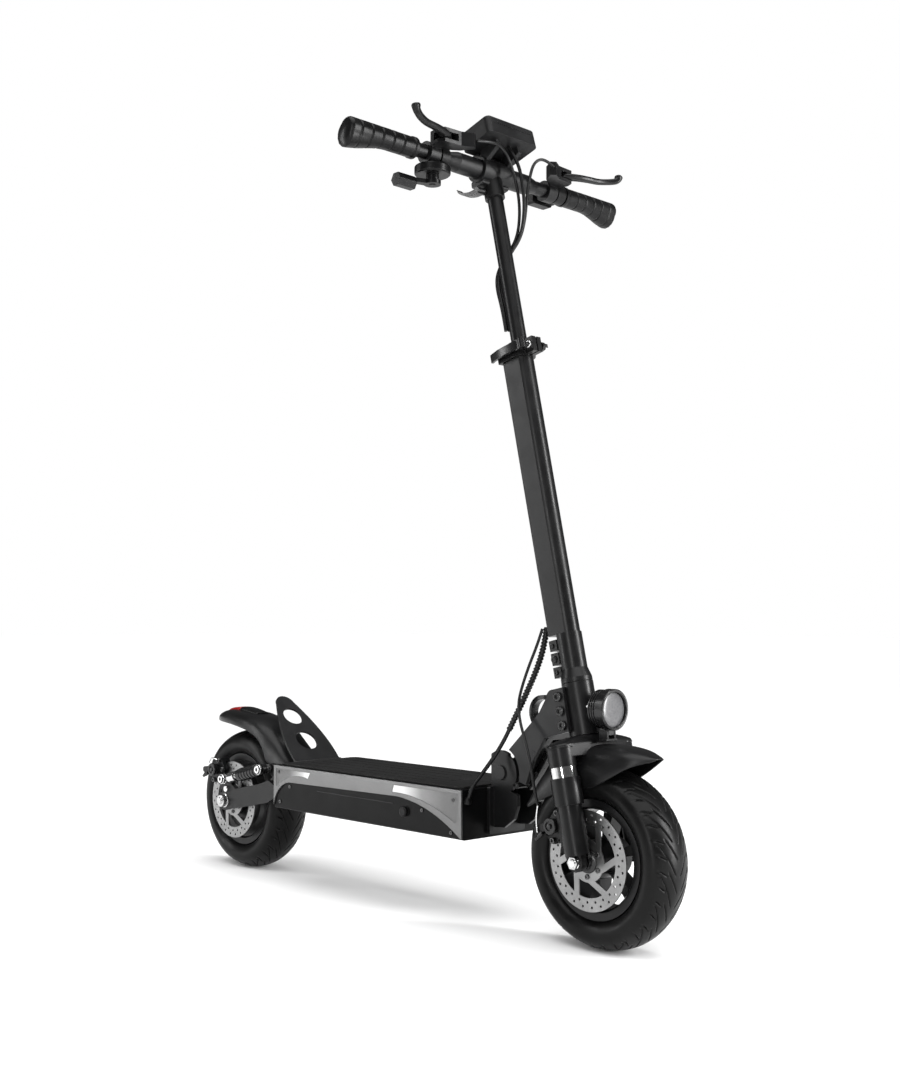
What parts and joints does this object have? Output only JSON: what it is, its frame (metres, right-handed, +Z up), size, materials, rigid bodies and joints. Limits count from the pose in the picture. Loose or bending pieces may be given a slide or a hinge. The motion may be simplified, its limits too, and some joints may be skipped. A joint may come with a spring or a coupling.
{
  "type": "electric kick scooter",
  "caption": "Folding electric kick scooter with telescopic stem, front fork and rear swingarm suspension, hub motor, disc brakes, deck lamps and headlight.",
  "frame": {"origin": "on the ground, midway between the axles, on the middle plane", "axes": "+X forward, +Y to the rider's left, +Z up"},
  "size_m": [1.123, 0.592, 1.2475],
  "materials": {
    "tyre": "moulded street tread",
    "rim_black": "satin black coat on cast alloy",
    "rotor_steel": "turned and drilled",
    "bolt_steel": "plated",
    "black_metal": "satin black powder coat",
    "black_alloy": "black anodised",
    "chrome": "polished",
    "black_plastic": "fine moulded texture",
    "grip_rubber": "moulded ribs",
    "trim_grey": "metallic grey paint",
    "lamp_strip": "frosted and ribbed",
    "tail_red": "translucent red",
    "lens": "frosted lens",
    "screen": "dark glass",
    "button": "coloured cap",
    "battery_wrap": "shrink wrap",
    "cable_rubber": "braided and smooth sleeve"
  },
  "bodies": {
    "chassis": {"deck_tray": "black_metal", "deck_lid": "black_metal", "grip_mat": "grip_rubber", "side_trims": "trim_grey", "side_lamps": "lamp_strip", "deck_screws": "bolt_steel", "charge_port": "black_plastic", "battery_pack": "battery_wrap", "controller": "black_alloy", "fold_bracket": "black_metal", "rear_bracket": "black_metal", "foot_plate": "black_metal", "rear_fender": "black_plastic", "tail_light": "tail_red", "main_harness": "cable_rubber"},
    "kickstand": {"kickstand": "black_metal"},
    "neck": {"neck_core": "black_metal", "neck_plates": "black_metal", "head_tube": "black_metal"},
    "latch": {"latch_lever": "black_metal"},
    "steering": {"fork_crown": "black_metal", "stanchions": "chrome", "front_fender": "black_plastic", "stem_clamp": "black_metal", "lower_stem": "black_metal", "stem_collar": "black_metal", "headlight_bracket": "black_metal", "front_brake_cable": "cable_rubber", "bar_cables": "cable_rubber"},
    "headlight": {"headlight_housing": "black_alloy", "headlight_lens": "lens"},
    "collar_lever": {"collar_lever": "black_metal"},
    "fork_lower": {"fork_legs": "black_metal", "front_axle": "bolt_steel", "front_caliper": "black_metal"},
    "front_wheel": {"front_tyre": "tyre", "front_rim": "rim_black", "front_rotor": "rotor_steel"},
    "mast": {"upper_stem": "black_metal", "handlebar": "black_metal", "grips": "grip_rubber", "display_case": "black_plastic", "display_screen": "screen", "lever_mounts": "black_metal", "throttle_body": "black_plastic", "switch_box": "black_plastic"},
    "brake_lever_right": {"brake_lever_right": "black_alloy"},
    "brake_lever_left": {"brake_lever_left": "black_alloy"},
    "throttle_paddle": {"throttle_paddle": "black_plastic"},
    "bar_lever": {"bar_lever": "black_metal"},
    "horn_button": {"horn_button": "button"},
    "light_button": {"light_button": "button"},
    "swingarm": {"swingarm": "black_metal", "rear_axle": "bolt_steel", "rear_caliper": "black_metal"},
    "rear_wheel": {"rear_tyre": "tyre", "rear_motor": "rim_black", "rear_rotor": "rotor_steel"},
    "shock_bodies": {"shock_bodies": "black_alloy"},
    "shock_rods": {"shock_rods": "chrome"}
  },
  "joints": [
    {"name": "stem_fold", "type": "hinge", "parent": "chassis", "child": "neck", "pos_m": [0.25, 0, 0.233], "axis": [0, -1, 0], "range_deg": [0, 80], "deforming": ["main_harness"]},
    {"name": "latch_pull", "type": "hinge", "parent": "neck", "child": "latch", "pos_m": [0.3202, 0, 0.2683], "axis": [0, -1, 0], "range_deg": [-2.2, 8], "stiffness_Nm_per_rad": 1.5, "springref_deg": -2.86},
    {"name": "steer", "type": "hinge", "parent": "neck", "child": "steering", "pos_m": [0.4623, 0, 0], "axis": [-0.219, 0, 0.9757], "range_deg": [-45, 45], "deforming": ["front_brake_cable"]},
    {"name": "headlight_tilt", "type": "hinge", "parent": "steering", "child": "headlight", "pos_m": [0.436, 0, 0.303], "axis": [0, 1, 0], "range_deg": [-8, 8]},
    {"name": "collar_lever_swing", "type": "hinge", "parent": "steering", "child": "collar_lever", "pos_m": [0.29263, -0.027, 0.8838], "axis": [-0.219, 0, 0.9757], "range_deg": [0, 120]},
    {"name": "fork_slide", "type": "slide", "parent": "steering", "child": "fork_lower", "axis": [-0.219, 0, 0.9757], "range_m": [0, 0.011], "stiffness_N_per_m": 12000, "springref_m": -0.02},
    {"name": "front_wheel_spin", "type": "hinge", "parent": "fork_lower", "child": "front_wheel", "pos_m": [0.434, 0, 0.1275], "axis": [0, 1, 0], "continuous": true},
    {"name": "mast_slide", "type": "slide", "parent": "steering", "child": "mast", "axis": [-0.219, 0, 0.9757], "range_m": [-0.23, 0], "deforming": ["bar_cables"]},
    {"name": "brake_lever_right_pull", "type": "hinge", "parent": "mast", "child": "brake_lever_right", "pos_m": [0.232, -0.13, 1.193], "axis": [0, 0, -1], "range_deg": [0, 22], "stiffness_Nm_per_rad": 2, "springref_deg": -11.46},
    {"name": "brake_lever_left_pull", "type": "hinge", "parent": "mast", "child": "brake_lever_left", "pos_m": [0.232, 0.13, 1.193], "axis": [0, 0, 1], "range_deg": [0, 22], "stiffness_Nm_per_rad": 2, "springref_deg": -11.46},
    {"name": "throttle_push", "type": "hinge", "parent": "mast", "child": "throttle_paddle", "pos_m": [0.196, -0.124, 1.133], "axis": [0, 0, 1], "range_deg": [0, 35], "stiffness_Nm_per_rad": 0.2, "springref_deg": -17.19},
    {"name": "bar_lever_swing", "type": "hinge", "parent": "mast", "child": "bar_lever", "pos_m": [0.19978, -0.0255, 1.14224], "axis": [0, -1, 0], "range_deg": [0, 90]},
    {"name": "horn_press", "type": "slide", "parent": "mast", "child": "horn_button", "axis": [1, 0, 0], "range_m": [0, 0.002], "stiffness_N_per_m": 300, "springref_m": -0.002},
    {"name": "light_press", "type": "slide", "parent": "mast", "child": "light_button", "axis": [1, 0, 0], "range_m": [0, 0.002], "stiffness_N_per_m": 300, "springref_m": -0.002},
    {"name": "swing", "type": "hinge", "parent": "chassis", "child": "swingarm", "pos_m": [-0.29, 0, 0.158], "axis": [0, 1, 0], "range_deg": [0, 10], "stiffness_Nm_per_rad": 250, "springref_deg": -8.59},
    {"name": "rear_wheel_spin", "type": "hinge", "parent": "swingarm", "child": "rear_wheel", "pos_m": [-0.434, 0, 0.1275], "axis": [0, 1, 0], "continuous": true},
    {"name": "shock_body_turn", "type": "hinge", "parent": "chassis", "child": "shock_bodies", "pos_m": [-0.3045, 0, 0.196], "axis": [0, 1, 0], "range_deg": [0, 11]},
    {"name": "shock_rod_turn", "type": "hinge", "parent": "swingarm", "child": "shock_rods", "pos_m": [-0.421, 0, 0.169], "axis": [0, 1, 0], "range_deg": [0, 1]},
    {"name": "kickstand_swing", "type": "hinge", "parent": "chassis", "child": "kickstand", "pos_m": [0.03, 0, 0.126], "axis": [0, -1, 0], "range_deg": [0, 65]}
  ],
  "couplings": [
    {"joint": "shock_body_turn", "follows": "swing", "ratio": 1.081},
    {"joint": "shock_rod_turn", "follows": "swing", "ratio": 0.081}
  ]
}
